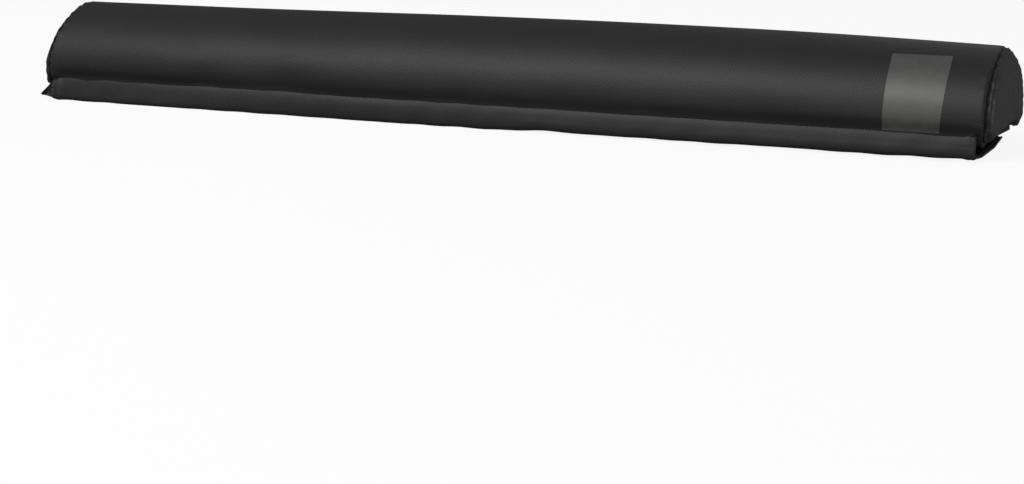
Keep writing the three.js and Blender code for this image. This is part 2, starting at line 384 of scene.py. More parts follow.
def uneven(places, length, seed):
    """Waves of about one length with irregular phases, from about -1 to 1."""
    random = np.random.default_rng(seed)
    total = np.zeros_like(places, dtype=float)
    for _ in range(WAVE_COUNT):
        wave_length = length * random.uniform(*WAVE_SPREAD)
        phase = random.uniform(0, 7)
        total += np.sin(2 * math.pi * places / wave_length + phase)
    return total / math.sqrt(WAVE_COUNT) / WAVE_PEAK


def fall(distance, reach):
    """1 at no distance, falling off quickly on both sides."""
    return np.exp(-np.abs(distance) / reach)


def spot(distance, reach):
    """1 at no distance, falling off softly on both sides."""
    return np.exp(-(distance / reach) ** 2)


def step(value, low, high):
    """0 below low and 1 above high, with a smooth rise between."""
    share = np.clip((value - low) / (high - low), 0, 1)
    return share * share * (3 - 2 * share)


def from_end(x):
    """How far a place along the pad is from the nearer end seam."""
    return HALF_LENGTH - np.abs(x)


def spaced(*stops, end):
    """Places from the first stop to the end. A stop is its place and the spacing after it."""
    found = []
    nexts = [place for place, _ in stops[1:]] + [end]
    for (start, spacing), stop in zip(stops, nexts):
        count = max(1, round((stop - start) / spacing))
        found.append(np.linspace(start, stop, count, endpoint=False))
    return np.concatenate(found + [[end]])


def finer_at_ends(low, high, edge, fine, coarse):
    """Places that lie closer together near both ends."""
    return spaced((low, fine), (low + edge, coarse), (high - edge, fine), end=high)


# Modelling helpers


def select_only(piece):
    """Selects one piece and makes it active, for the operators that follow."""
    bpy.ops.object.select_all(action="DESELECT")
    piece.select_set(True)
    bpy.context.view_layer.objects.active = piece


def grid_piece(name, along, across, place):
    """A grid of quads with its corners at place(along, across), and a UV map in metres of cloth."""
    bpy.ops.object.select_all(action="DESELECT")
    bpy.ops.mesh.primitive_grid_add(
        x_subdivisions=len(along) - 1, y_subdivisions=len(across) - 1, size=1,
    )
    piece = bpy.context.object
    piece.name = piece.data.name = name
    mesh = piece.data
    flat = np.zeros(len(mesh.vertices) * 3)
    mesh.vertices.foreach_get("co", flat)
    flat = flat.reshape(-1, 3) + 0.5
    column = np.rint(flat[:, 0] * (len(along) - 1)).astype(int)
    row = np.rint(flat[:, 1] * (len(across) - 1)).astype(int)
    mesh.vertices.foreach_set("co", place(along[column], across[row]).ravel())
    corner = np.zeros(len(mesh.loops), int)
    mesh.loops.foreach_get("vertex_index", corner)
    cloth = np.stack([along[column[corner]], across[row[corner]]], -1)
    mesh.uv_layers[0].name = "cloth"
    mesh.uv_layers[0].data.foreach_set("uv", cloth.ravel())
    mesh.update()
    return piece


def thicken(piece, thickness, offset=-1):
    """Gives a sheet its thickness: inwards, or outwards for an offset of 1."""
    select_only(piece)
    modifier = piece.modifiers.new("Thickness", "SOLIDIFY")
    modifier.thickness, modifier.offset = thickness, offset
    bpy.ops.object.modifier_apply(modifier=modifier.name)


def weld(piece, distance):
    """Closes a seam or a pole whose corners meet."""
    select_only(piece)
    bpy.ops.object.mode_set(mode="EDIT")
    bpy.ops.mesh.select_all(action="SELECT")
    bpy.ops.mesh.remove_doubles(threshold=distance)
    bpy.ops.mesh.normals_make_consistent(inside=False)
    bpy.ops.object.mode_set(mode="OBJECT")


def dress(piece, material, nodes=()):
    """Gives a finished piece its material and its body, and hides the nodes that it stands for."""
    piece.data.materials.clear()
    piece.data.materials.append(material)
    select_only(piece)
    bpy.ops.object.shade_smooth_by_angle(angle=math.radians(50))
    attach(piece, "root")
    if nodes:
        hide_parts(*nodes)
    return piece


def join_points(y_and_z, x):
    """Points in the shared frame, from places measured from the middle of the sewn body."""
    return np.stack([x + MID_X, y_and_z[..., 0] + MID_Y, y_and_z[..., 1]], -1)


# Materials


def weave_height(tree, pitch):
    """Plain weave as a height from 0 to 1: threads stand up at every second crossing and dip
    between. A real crossing is about half as wide, which wouldn't show."""
    cloth = add_node(tree, "ShaderNodeUVMap", uv_map="cloth")
    scaled = add_node(
        tree, "ShaderNodeVectorMath", {0: cloth.outputs[0], "Scale": math.pi / pitch},
        operation="SCALE",
    )
    waves = add_node(tree, "ShaderNodeVectorMath", {0: scaled.outputs[0]}, operation="SINE")
    each = add_node(tree, "ShaderNodeSeparateXYZ", {0: waves.outputs[0]})
    crossing = add_node(
        tree, "ShaderNodeMath", {0: each.outputs["X"], 1: each.outputs["Y"]},
        operation="MULTIPLY",
    )
    height = add_node(
        tree, "ShaderNodeMapRange",
        {"Value": crossing.outputs[0], "From Min": -1.0, "From Max": 1.0},
    )
    return height.outputs["Result"]


def mottled(tree, colour, noise, spread, change):
    """A colour that a noise makes darker and lighter: by change, at spread from its middle."""
    worn = add_node(
        tree, "ShaderNodeMapRange",
        {"Value": noise, "From Min": 0.5 - spread, "From Max": 0.5 + spread,
         "To Min": 1 - change, "To Max": 1 + change},
    )
    return add_node(
        tree, "ShaderNodeVectorMath", {0: colour, "Scale": worn.outputs["Result"]},
        operation="SCALE",
    )


def surface(tree, colour, height, strength, depth, roughness, specular, sheen=0.0):
    """The shader of a cloth, foam, tape, thread or film, with its relief."""
    bump = add_node(
        tree, "ShaderNodeBump", {"Height": height, "Strength": strength, "Distance": depth},
    )
    shader = add_node(
        tree, "ShaderNodeBsdfPrincipled",
        {"Base Color": colour.outputs[0], "Roughness": roughness, "Specular IOR Level": specular,
         "Sheen Weight": sheen, "Normal": bump.outputs[0]},
    )
    close_material(tree, shader)


def cloth_material(name, settings):
    """Oxford cloth: flat bundles of dull polyester thread, so the sheen is broad and the weave
    shows as fine dots where light grazes it."""
    material, tree = blank_material(name)
    height = weave_height(tree, settings.weave_pitch)
    place = add_node(tree, "ShaderNodeTexCoord").outputs["Object"]
    mottle = add_node(
        tree, "ShaderNodeTexNoise",
        {"Vector": place, "Scale": 22.0, "Detail": 3.0, "Roughness": 0.6},
    )
    fuzz = add_node(
        tree, "ShaderNodeTexNoise",
        {"Vector": place, "Scale": 900.0, "Detail": 2.0, "Roughness": 0.6},
    )
    shade = add_node(
        tree, "ShaderNodeMath", {0: height, 1: fuzz.outputs["Fac"], 2: -0.15},
        operation="MULTIPLY_ADD",
    )
    # Painted shade: the colour runs from the thread's colour on the crowns to the darker gap colour
    # where the weave dips between threads.
    painted_weave_shade = add_node(
        tree, "ShaderNodeMix",
        {"Factor": height, "A": linear_colour(settings.gap_shade_colour),
         "B": linear_colour(settings.thread_colour)},
        data_type="RGBA",
    )
    colour = mottled(tree, painted_weave_shade.outputs["Result"], mottle.outputs["Fac"], 0.2, 0.12)
    surface(tree, colour, shade.outputs[0], 0.5, 0.35 * MM, roughness=0.55, specular=0.35)
    return material


def plain_material(name, colour, roughness, specular, grain, depth, sheen=0.0):
    """A moulded, knitted or spun surface whose only pattern is a fine grain: its size and depth."""
    material, tree = blank_material(name)
    place = add_node(tree, "ShaderNodeTexCoord").outputs["Object"]
    noise = add_node(
        tree, "ShaderNodeTexNoise",
        {"Vector": place, "Scale": 1 / grain, "Detail": 3.0, "Roughness": 0.6},
    )
    tint = mottled(tree, linear_colour(colour)[:3], noise.outputs["Fac"], 0.25, 0.2)
    surface(tree, tint, noise.outputs["Fac"], 0.6, depth, roughness, specular, sheen)
    return material


def shared_cloth():
    """The one cloth that the cover, its end panels and the flap are cut from."""
    found = bpy.data.materials.get("woven_polyester")
    return found or cloth_material("woven_polyester", bpy.context.scene.pad_cover)


# Pieces


def crease_wander(x):
    """How far the flap's seam wanders up or down along the pad. It drops at the left end."""
    drop = 3 * MM * step(-x, HALF_LENGTH - 14 * MM, HALF_LENGTH - MM)
    return 0.45 * MM * uneven(x, 190 * MM, seed=3) - drop


def crease_depth(x, settings):
    """The flap's seam is drawn in hardest towards the left end, and fades just before both ends."""
    left_pull = 0.75 * (1 - step(x, -280 * MM, -150 * MM))
    right_pull = 0.25 * step(x, 150 * MM, 250 * MM)
    fade = 0.35 + 0.65 * step(from_end(x), 2 * MM, 14 * MM)
    return settings.crease_depth * (1 + left_pull + right_pull) * fade


def gathers_start(x):
    """Where in the pattern of gathers each end begins, so that the two ends differ."""
    return np.where(x > 0, 11.0, 5.0)


def end_seam_depth(x, place, settings):
    """How far an end seam draws the cloth in, with the gathers beside it."""
    along = place + gathers_start(x)
    to_end = from_end(x)
    seam = settings.seam_depth * spot(to_end, settings.seam_reach)
    seam = seam * (1 + 0.25 * uneven(along, 9 * MM, seed=13))
    strength = 0.55 + 0.45 * uneven(along, 45 * MM, seed=12)
    gathers = uneven(along, settings.pucker_length, seed=11) * fall(to_end - 3 * MM, 5 * MM)
    gathers = gathers * strength * step(to_end, 0, 2 * MM)
    return seam + gathers * settings.pucker_height


def cover_depth(x, place, line, settings):
    """How far the cover's cloth lies inside its plain outline at a place along its section."""
    seam_height = bpy.context.scene.pad_flap.crease_height - MM
    over = place - line.place_at_height(seam_height - BASE_Z) - crease_wander(x)
    above, below = spot(over, 5 * MM), spot(over, 7 * MM)
    groove = crease_depth(x, settings) * np.where(over > 0, above, below)
    pinch = 2.2 * MM * spot(x - FLAP_RIGHT - MM, 1.6 * MM) * (1 - step(over, -MM, 2 * MM))
    waves = settings.ripple * uneven(x + 0.6 * place, 120 * MM, seed=21)
    waves = waves * uneven(place + 0.2, 90 * MM, seed=22)
    dents = sum(
        depth * spot(x - at, reach) * spot(over - height, DENT_RISE)
        for at, reach, height, depth in DENTS
    )
    return end_seam_depth(x, place, settings) + groove + pinch + waves + dents


def left_lean(x, height):
    """How far the left end stands in where its seam turns over the shoulder."""
    lean = 2.3 * MM
    shoulder, shoulder_reach, end_reach = 66 * MM, 12 * MM, 14 * MM
    return lean * spot(height - shoulder, shoulder_reach) * spot(x + HALF_LENGTH, end_reach)


def base_end_lift(y):
    """The base's ends are drawn up between the corners by the panels sewn to them."""
    middle_lift, lift_per_depth = 3.3 * MM, 0.02
    to_front, to_back = BASE_HALF_DEPTH + y, BASE_HALF_DEPTH - y
    between = step(to_front, -7 * MM, 9 * MM) * step(to_back, 9 * MM, 22 * MM)
    return (middle_lift + lift_per_depth * y) * between


def cover_points(x, place, line, settings, lift=0.0):
    """Points on the cover, or on something that lies on it."""
    flat, slope = line.at(place), line.slope_at(place)
    fullness = np.interp(x / HALF_LENGTH, *smooth_line(CROWN_SHAPE).T)
    crown = 1 + settings.crown_rise / END_ARCH * fullness
    outward = np.stack([-slope[..., 1], slope[..., 0]], -1)
    depth = cover_depth(x, place, line, settings) - lift
    found = flat * np.stack([np.ones_like(crown), crown], -1) - outward * depth[..., None]
    front_corner = spot(from_end(x), 2.5 * MM) * spot(place, 4 * MM)
    found[..., 1] += base_end_lift(-BASE_HALF_DEPTH) * front_corner
    found = found + [0, BASE_Z]
    return join_points(found, x + left_lean(x, found[..., 1]))


class PAD_OT_cover(bpy.types.Operator):
    """Wraps the front, top and back of the pad in one panel of woven cloth"""

    bl_idname = "pad.cover"
    bl_label = "Cover"

    def execute(self, context):
        settings = context.scene.pad_cover
        line = cover_line(settings)
        along = finer_at_ends(-HALF_LENGTH, HALF_LENGTH, 22 * MM, 1.1 * MM, 3.4 * MM)
        crease = line.place_at_height(context.scene.pad_flap.crease_height - BASE_Z)
        across = spaced(
            (0, 1.2 * MM), (crease - 4 * MM, 0.8 * MM), (crease + 14 * MM, 2.6 * MM),
            (line.length - 16 * MM, 1.6 * MM), end=line.length,
        )

        def place(x, at):
            """The cover's front edge hangs down at the right end, where it is sewn to the base."""
            found = cover_points(x, at, line, settings)
            hanging = step(x, HALF_LENGTH - 14 * MM, HALF_LENGTH - 5 * MM) * spot(at, 4.5 * MM)
            found[..., 2] -= 3.4 * MM * hanging
            return found

        cover = grid_piece("cover_top", along, across, place)
        thicken(cover, settings.cloth_thickness)
        dress(cover, shared_cloth(), ["cover_top_panel"])
        return {"FINISHED"}


class PAD_OT_base(bpy.types.Operator):
    """Closes the cover underneath with a flat panel"""

    bl_idname = "pad.base"
    bl_label = "Base"

    def execute(self, context):
        settings = context.scene.pad_cover

        def place(x, y):
            to_side = BASE_HALF_DEPTH - np.abs(y)
            lift = 1.2 * MM * fall(to_side, 1.5 * MM)
            lift = lift + base_end_lift(y) * spot(from_end(x), 1.8 * MM)
            sag = 0.5 * MM * uneven(x, 90 * MM, seed=31) * uneven(y + 0.3, 60 * MM, seed=32)
            gathers = 0.3 * MM * uneven(x + y, settings.pucker_length, seed=33)
            gathers = gathers * fall(to_side, 5 * MM)
            height = BASE_Z + lift + np.abs(sag + gathers)
            return join_points(np.stack([y, height], -1), x)

        along = finer_at_ends(-HALF_LENGTH, HALF_LENGTH, 5 * MM, 0.8 * MM, 5 * MM)
        across = finer_at_ends(-BASE_HALF_DEPTH, BASE_HALF_DEPTH, 5 * MM, 1.2 * MM, 4 * MM)
        base = grid_piece("cover_base", along, across, place)
        thicken(base, settings.cloth_thickness, offset=1)
        dress(base, shared_cloth(), ["cover_base_panel"])
        return {"FINISHED"}


def cap_outline(side, line, settings):
    """The closed outline of the cover's end and the base's, as if the seam didn't draw it in."""
    top_count, bottom_count = 121, 40
    end = np.full(top_count, side * HALF_LENGTH)
    around = np.linspace(0, line.length, top_count)
    top = cover_points(end, around, line, settings, lift=settings.seam_depth)
    inner = BASE_HALF_DEPTH - 3 * MM
    lower = np.linspace(inner, -inner, bottom_count)
    rise = BASE_Z + base_end_lift(lower)
    bottom = np.stack([np.full(bottom_count, top[0, 0]), lower + MID_Y, rise], -1)
    loop = np.vstack([top, bottom, top[:1]])[:, 1:] - [MID_Y, 0]
    return Line(loop)


def cap_folds(distance, at, length, side, settings):
    """The slack folds in an end panel, less the gathers that its seam leaves beside it."""
    gathers = uneven(at + gathers_start(side), settings.pucker_length, seed=11)
    gathers = gathers * spot(distance - 6 * MM, 4 * MM) * settings.pucker_height * 0.35
    slack = uneven(at, 60 * MM, seed=41 + side) * spot(distance - 18 * MM, 9 * MM) * 0.35 * MM
    # The waves don't repeat, so they fade where the outline closes.
    fade = step(np.minimum(at, length - at), 0, 16 * MM)
    return (slack - gathers) * fade


class PAD_OT_end_caps(bpy.types.Operator):
    """Sews a domed D-shaped panel into each end of the cover"""

    bl_idname = "pad.end_caps"
    bl_label = "End caps"

    def execute(self, context):
        settings = context.scene.pad_cover
        middle = np.array([0, BASE_Z + (COVER_HIGH.z - BASE_Z) * 0.45])
        profile = Line(smooth_line(CAP_PROFILE) * MM)
        reach, centre = profile.length, 44 * MM
        inward = spaced(
            (0, 0.6 * MM), (reach, 1.3 * MM), (reach + 12 * MM, 2.6 * MM), end=centre,
        )
        for side, name, low, high, flatter, drawn in END_PANELS:
            outline = cap_outline(side, cover_line(settings), settings)
            around = spaced((0, 1.8 * MM), end=outline.length)

            def place(distance, at):
                near = np.minimum(distance, reach)
                out, inset = np.moveaxis(profile.at(near), -1, 0)
                edge = outline.at(at)
                # Along the base the panel slopes in evenly. That stops short of the corners, but
                # takes in the right panel's front one. The corners that it leaves out hang down.
                depth = edge[..., 0] if side > 0 else np.abs(edge[..., 0])
                near_base = 1 - step(edge[..., 1], BASE_Z + 4 * MM, BASE_Z + 11 * MM)
                near_base = near_base * step(BASE_HALF_DEPTH - depth, 0.5 * MM, 5 * MM)
                inset = inset + (0.58 * near - inset) * near_base
                to_middle = np.linalg.norm(middle - edge, axis=-1)
                rest = np.clip((distance - reach) / (centre - reach), 0, 1)
                share = inset / to_middle + (1 - inset / to_middle) * rest
                flat = edge * (1 - share[..., None]) + middle * share[..., None]
                at_corner = step(depth, BASE_HALF_DEPTH - 12 * MM, BASE_HALF_DEPTH - MM)
                flat[..., 1] -= 1.9 * MM * spot(flat[..., 1] - BASE_Z, 7 * MM) * at_corner
                out = out + cap_folds(distance, at, outline.length, side, settings)
                out = out * (1 - flatter * step(flat[..., 1], low, high))
                out = out * (1 - drawn + drawn * step(flat[..., 1] - BASE_Z, 0, 8 * MM))
                x = side * (HALF_LENGTH - 0.3 * MM + out)
                return join_points(flat, x + left_lean(x, flat[..., 1]))

            cap = grid_piece("end_panel_" + name, inward, around, place)
            weld(cap, 0.05 * MM)
            thicken(cap, settings.cloth_thickness)
            dress(cap, shared_cloth(), ["end_cap_" + name])
        return {"FINISHED"}


class PAD_OT_foam(bpy.types.Operator):
    """Cuts the foam bar inside the cover"""

    bl_idname = "pad.foam"
    bl_label = "Foam bar"

    def execute(self, context):
        settings = context.scene.pad_cover
        line = cover_line(settings)
        end = HALF_LENGTH - FOAM_CLEARANCE

        def place(x, at):
            return cover_points(x, at, line, settings, lift=-FOAM_CLEARANCE)

        along = spaced((-end, 12 * MM), end=end)
        across = spaced((4 * MM, 6 * MM), end=line.length - 4 * MM)
        foam = grid_piece("foam_bar", along, across, place)
        select_only(foam)
        bpy.ops.object.mode_set(mode="EDIT")
        bpy.ops.mesh.select_all(action="DESELECT")
        bpy.ops.mesh.select_non_manifold()
        bpy.ops.mesh.fill()
        bpy.ops.object.mode_set(mode="OBJECT")
        weld(foam, 0.01 * MM)
        # Closed-cell polyethylene, sliced from a block: dull, with an even grain of tiny cells.
        material = plain_material(
            "closed_cell_foam", "#3c3c3f", roughness=0.9, specular=0.2, grain=1.2 * MM,
            depth=0.3 * MM,
        )
        dress(foam, material, ["foam_core"])
        return {"FINISHED"}


def flap_line(settings):
    """The flap's middle line: out of the seam, down the front, under the fold and back beneath."""
    face = FLAP_FACE
    top = settings.crease_height - 0.7 * MM
    under = settings.thickness / 2
    edge = FLAP_HIGH.y - MID_Y + 7 * MM
    points = [
        (face + 5.0 * MM, top - 1.6 * MM),
        (face + 2.6 * MM, top - 0.2 * MM),
        (face + 1.1 * MM, top - 0.1 * MM),
        (face + 0.3 * MM, top - 1.3 * MM),
        (face, top - 4.4 * MM),
        (face, top * 0.45),
        (face + 0.15 * MM, 2.9 * MM),
        (face + 0.9 * MM, 1.2 * MM),
        (face + 2.6 * MM, under),
        (face + 14 * MM, under),
        (-12 * MM, under),
        (8 * MM, under),
        (16 * MM, under + 0.9 * MM),
        (edge, under + 3.4 * MM),
    ]
    return Line(smooth_line(points))


def fold_lift(x):
    """How far the fold along the flap's lower edge stands off the ground."""
    rise = 1.5 * step(x, 5 * MM, 55 * MM) + 0.4 * step(x, 180 * MM, 300 * MM)
    hump = 0.7 * spot(x - 56 * MM, 16 * MM)
    dip = 0.25 * spot(x - 105 * MM, 30 * MM)
    left_rise = 1.1 * step(-x, HALF_LENGTH - 11 * MM, HALF_LENGTH - 3 * MM)
    return (rise + hump - dip + left_rise) * MM


def flap_points(x, place, line, settings, lift=0.0):
    """Points on the flap's middle surface. lift is towards the pad."""
    flat, slope = line.at(place), line.slope_at(place)
    inward = np.stack([-slope[..., 1], slope[..., 0]], -1)
    in_front = 1 - step(flat[..., 0], -HALF_DEPTH + 4 * MM, -HALF_DEPTH + 26 * MM)
    hanging = in_front * step(place, 2 * MM, 8 * MM)
    to_end = np.minimum(FLAP_RIGHT - x, x - FLAP_LEFT)
    hem = settings.hem_step * (1 - step(to_end, settings.hem_width - 4 * MM, settings.hem_width))
    stitched = 0.35 * MM * spot(to_end - 2.6 * MM, 0.8 * MM)
    rounded = 0.8 * MM * spot(to_end, 0.9 * MM)
    hem = hem - stitched - rounded
    wave = settings.wave * uneven(x, 130 * MM, seed=51) * hanging
    dimple = 0.25 * MM * uneven(x + place, 34 * MM, seed=52) * hanging
    moved = flat + inward * (lift - hem + wave + dimple)[..., None]
    # The face leans back into the crease above it.
    lean = 0.87 * crease_depth(x, bpy.context.scene.pad_cover) + 3.3 * MM
    straight = 1.3 + step(x, -290 * MM, -170 * MM)
    up = np.clip(flat[..., 1] / settings.crease_height, 0, 1)
    moved[..., 0] += lean * up ** straight * in_front
    moved[..., 1] += fold_lift(x) * in_front * (1 - step(flat[..., 1], 4 * MM, 12 * MM))
    moved[..., 1] += crease_wander(x) * step(flat[..., 1], 12 * MM, 19 * MM)
    moved[..., 1] = np.maximum(moved[..., 1], settings.thickness / 2 + lift)
    return join_points(moved, x)


class PAD_OT_flap(bpy.types.Operator):
    """Hangs the closure flap from the front seam and folds it under the pad"""

    bl_idname = "pad.flap"
    bl_label = "Closure flap"

    def execute(self, context):
        settings = context.scene.pad_flap
        line = flap_line(settings)
        left, right = FLAP_LEFT, FLAP_RIGHT
        along = spaced(
            (left, 0.8 * MM), (left + 14 * MM, 3.6 * MM), (right - 14 * MM, 0.7 * MM), end=right,
        )
        across = spaced(
            (0, 0.9 * MM), (34 * MM, 4 * MM), (line.length - 30 * MM, 1.5 * MM), end=line.length,
        )
        flap = grid_piece(
            "front_flap", along, across, lambda x, place: flap_points(x, place, line, settings),
        )
        thicken(flap, settings.thickness, offset=0)
        dress(flap, shared_cloth(), ["closure_flap"])
        self.corner(settings)
        return {"FINISHED"}

    def corner(self, settings):
        """The flap's lower left corner, which has sprung out past the pad's end with its tape."""
        columns, rows = 20, 16
        tip = np.array([FLAP_LOW.x - MID_X + 1.7 * MM, FLAP_FACE + 3.5 * MM, 3.7 * MM])
        lower = np.array([FLAP_LEFT + 3.0 * MM, FLAP_FACE + 1.6 * MM, 1.0 * MM])
        upper = np.array([FLAP_LEFT + 0.4 * MM, FLAP_FACE + 4.2 * MM, 16.2 * MM])

        def place(out, up):
            root = lower * (1 - up[:, None]) + upper * up[:, None]
            found = root * (1 - out[:, None]) + tip * out[:, None]
            found[:, 1] += 1.2 * MM * np.sin(out * math.pi) * np.sin(up * math.pi)
            hook = (np.rint(out * columns) % 2 == 1) & (np.rint(up * rows) % 2 == 1)
            found[:, 1] -= np.where(hook, 0.5 * MM, 0)
            return join_points(found[:, 1:], found[:, 0])

        corner = grid_piece(
            "flap_corner", np.linspace(0, 1, columns + 1), np.linspace(0, 1, rows + 1), place,
        )
        weld(corner, 0.02 * MM)
        thicken(corner, settings.thickness, offset=0)
        dress(corner, hook_material())


def hook_material():
    """Nylon hook tape: its stiff hooks catch small glints, so it looks grainy more than dull."""
    settings = bpy.context.scene.pad_tapes
    found = bpy.data.materials.get("nylon_hook_tape")
    return found or plain_material(
        "nylon_hook_tape", settings.hook_colour, roughness=0.5, specular=0.4, grain=1.3 * MM,
        depth=0.8 * MM,
    )


class PAD_OT_hook_tape(bpy.types.Operator):
    """Sews hook tape to the flap's inner face"""

    bl_idname = "pad.hook_tape"
    bl_label = "Hook tape"

    def execute(self, context):
        settings, flap = context.scene.pad_tapes, context.scene.pad_flap
        line = flap_line(flap)
        # Both tapes run a little past their solids at the right, where their ends are seen.
        left, right = HOOK_LOW.x - MID_X, HOOK_HIGH.x - MID_X + 2.4 * MM
        start, end = HOOK_START, line.length - 2 * MM
        half = settings.hook_pitch / 2

        def place(x, at):
            columns, rows = np.rint((x - left) / half), np.rint((at - start) / half)
            hook = (columns % 2 == 1) & (rows % 2 == 1)
            lean = np.where((rows // 2) % 2 == 0, 1, -1) * 0.25 * MM
            lift = flap.thickness / 2 + 0.6 * MM + np.where(hook, settings.hook_height, 0)
            return flap_points(x + np.where(hook, lean, 0), at, line, flap, lift)

        columns = 2 * round((right - left) / settings.hook_pitch)
        rows = 2 * round((end - start) / settings.hook_pitch)
        along, across = left + half * np.arange(columns + 1), start + half * np.arange(rows + 1)
        tape = grid_piece("hook_tape", along, across, place)
        thicken(tape, 0.5 * MM)
        dress(tape, hook_material(), ["hook_strip"])
        return {"FINISHED"}


class PAD_OT_loop_tape(bpy.types.Operator):
    """Sews loop tape under the base, near the back"""

    bl_idname = "pad.loop_tape"
    bl_label = "Loop tape"

    def execute(self, context):
        settings = context.scene.pad_tapes
        thickness = LOOP_HIGH.z - LOOP_LOW.z + 0.4 * MM
        left, right = LOOP_LOW.x - MID_X, LOOP_HIGH.x - MID_X + 1.2 * MM
        front, back = LOOP_LOW.y - MID_Y, LOOP_HIGH.y - MID_Y

        def place(x, y):
            to_edge = np.minimum(np.minimum(y - front, back - y), np.minimum(x - left, right - x))
            pile = settings.pile_height * uneven(x * 1.3 + y, 4 * MM, seed=61)
            pile = pile * uneven(y - x * 0.7, 5 * MM, seed=62)
            round_off = 0.7 * MM * fall(to_edge, 1.2 * MM)
            droop = 2.2 * MM * (1 - (y - front) / (back - front)) * fall(right - x, 12 * MM)
            height = LOOP_LOW.z + np.abs(pile) + round_off + droop
            return join_points(np.stack([y, height], -1), x)

        along = spaced((left, 2.2 * MM), end=right)
        across = spaced((front, 1.3 * MM), end=back)
        tape = grid_piece("loop_tape", along, across, place)
        thicken(tape, thickness, offset=1)
        # The upper side follows the base, whose right end is drawn up.
        for vertex in tape.data.vertices:
            x, y = vertex.co.x - MID_X, vertex.co.y - MID_Y
            if right - x < 6 * MM:
                above = vertex.co.z - place(np.array(x), np.array(y))[2]
                upper = step(above, 0.4 * thickness, 0.8 * thickness)
                vertex.co.z += 0.8 * base_end_lift(y) * spot(right - x, 2 * MM) * upper
        # Knitted nylon loops: soft and dull, with a faint sheen where light grazes the pile.
        material = plain_material(
            "knitted_loop_tape", settings.loop_colour, roughness=0.95, specular=0.15,
            grain=0.9 * MM, depth=0.6 * MM, sheen=0.12,
        )
        dress(tape, material, ["loop_strip"])
        return {"FINISHED"}


class PAD_OT_stitches(bpy.types.Operator):
    """Sews lock stitches along the flap's hems and the hook tape's edges"""

    bl_idname = "pad.stitches"
    bl_label = "Stitches"

    def execute(self, context):
        settings, flap = context.scene.pad_seams, context.scene.pad_flap
        # Bonded polyester: as dull as the cloth, so the stitches show by their shape.
        material = plain_material(
            "bonded_polyester_thread", settings.colour, roughness=0.6, specular=0.3,
            grain=0.5 * MM, depth=0.1 * MM,
        )
        line = flap_line(flap)
        under = -flap.thickness / 2 + 0.1 * MM
        along = np.arange(FLAP_LEFT + 5 * MM, FLAP_RIGHT - 5 * MM, settings.stitch_pitch)
        for name, at in (("front", HOOK_START - MM), ("edge", line.length - 4 * MM)):
            row = flap_points(along, np.full_like(along, at), line, flap, lift=under)
            self.sew("tape_seam_" + name, row, settings, material)
        across = np.arange(6 * MM, line.length - 3 * MM, settings.stitch_pitch)
        for name, x in (("left", FLAP_LEFT + 7 * MM), ("right", FLAP_RIGHT - 6 * MM)):
            row = flap_points(np.full_like(across, x), across, line, flap, lift=under)
            self.sew("hem_seam_" + name, row, settings, material)
        return {"FINISHED"}

    def sew(self, name, row, settings, material):
        """One stitch is shaped and then copied from each point of the row towards the next."""
        bpy.ops.object.select_all(action="DESELECT")
        bpy.ops.mesh.primitive_uv_sphere_add(
            segments=6, ring_count=6, radius=settings.thread_radius,
        )
        first = bpy.context.object
        first.scale.z = settings.stitch_length / settings.thread_radius / 2
        bpy.ops.object.transform_apply(scale=True)
        stitches = []
        for start, stop in zip(row[:-1], row[1:]):
            stitch = first.copy()
            stitch.data = first.data.copy()
            stitch.location = Vector((start + stop) / 2)
            stitch.rotation_euler = Vector(stop - start).to_track_quat("Z", "Y").to_euler()
            bpy.context.collection.objects.link(stitch)
            stitches.append(stitch)
        bpy.data.objects.remove(first)
        for stitch in stitches:
            stitch.select_set(True)
        bpy.context.view_layer.objects.active = stitches[0]
        bpy.ops.object.join()
        seam = bpy.context.object
        bpy.ops.object.transform_apply(location=True, rotation=True, scale=True)
        seam.name = seam.data.name = name
        dress(seam, material)


class PAD_OT_patch(bpy.types.Operator):
    """Lays the plain smooth patch on the front of the cover"""

    bl_idname = "pad.patch"
    bl_label = "Patch"

    def execute(self, context):
        settings, cover = context.scene.pad_patch, context.scene.pad_cover
        line = cover_line(cover)
        crease = line.place_at_height(context.scene.pad_flap.crease_height - BASE_Z) - 2.0 * MM
        top = line.place_at_height(PATCH_HIGH.z - BASE_Z - cover.crown_rise * 0.2) - 5.8 * MM
        along = spaced((PATCH_LOW.x - MID_X, 1.8 * MM), end=PATCH_HIGH.x - MID_X - 0.8 * MM)
        across = spaced((crease, 0.8 * MM), (crease + 14 * MM, 1.6 * MM), end=top)

        def place(x, at):
            """The patch lies a little askew: its left side leans in, and both sides bow out."""
            to_right = (x - along[0]) / (along[-1] - along[0])
            up = (at - crease) / (top - crease)
            lower = 2.2 * MM * (1 - to_right) * up
            foot = 2.5 * MM * (1 - to_right) * (1 - up)
            head = (1.4 - 0.3 * to_right) * MM * up
            bow = 2.8 * MM * (1 + to_right) * up * (1 - up)
            return cover_points(
                x + foot + head + bow, at - lower, line, cover, lift=settings.thickness,
            )

        patch = grid_piece("plain_patch", along, across, place)
        # A little thicker than it stands proud, so that it leaves no gap to the cloth.
        thicken(patch, settings.thickness * 1.2)
        dress(patch, self.material(settings), ["transfer_patch"])
        return {"FINISHED"}

    def material(self, settings):
        """Transfer film: smooth and satin, with a faint unevenness where it took up the weave."""
        return plain_material(
            "satin_transfer_film", settings.colour, roughness=0.52, specular=0.7, grain=9 * MM,
            depth=0.05 * MM,
        )


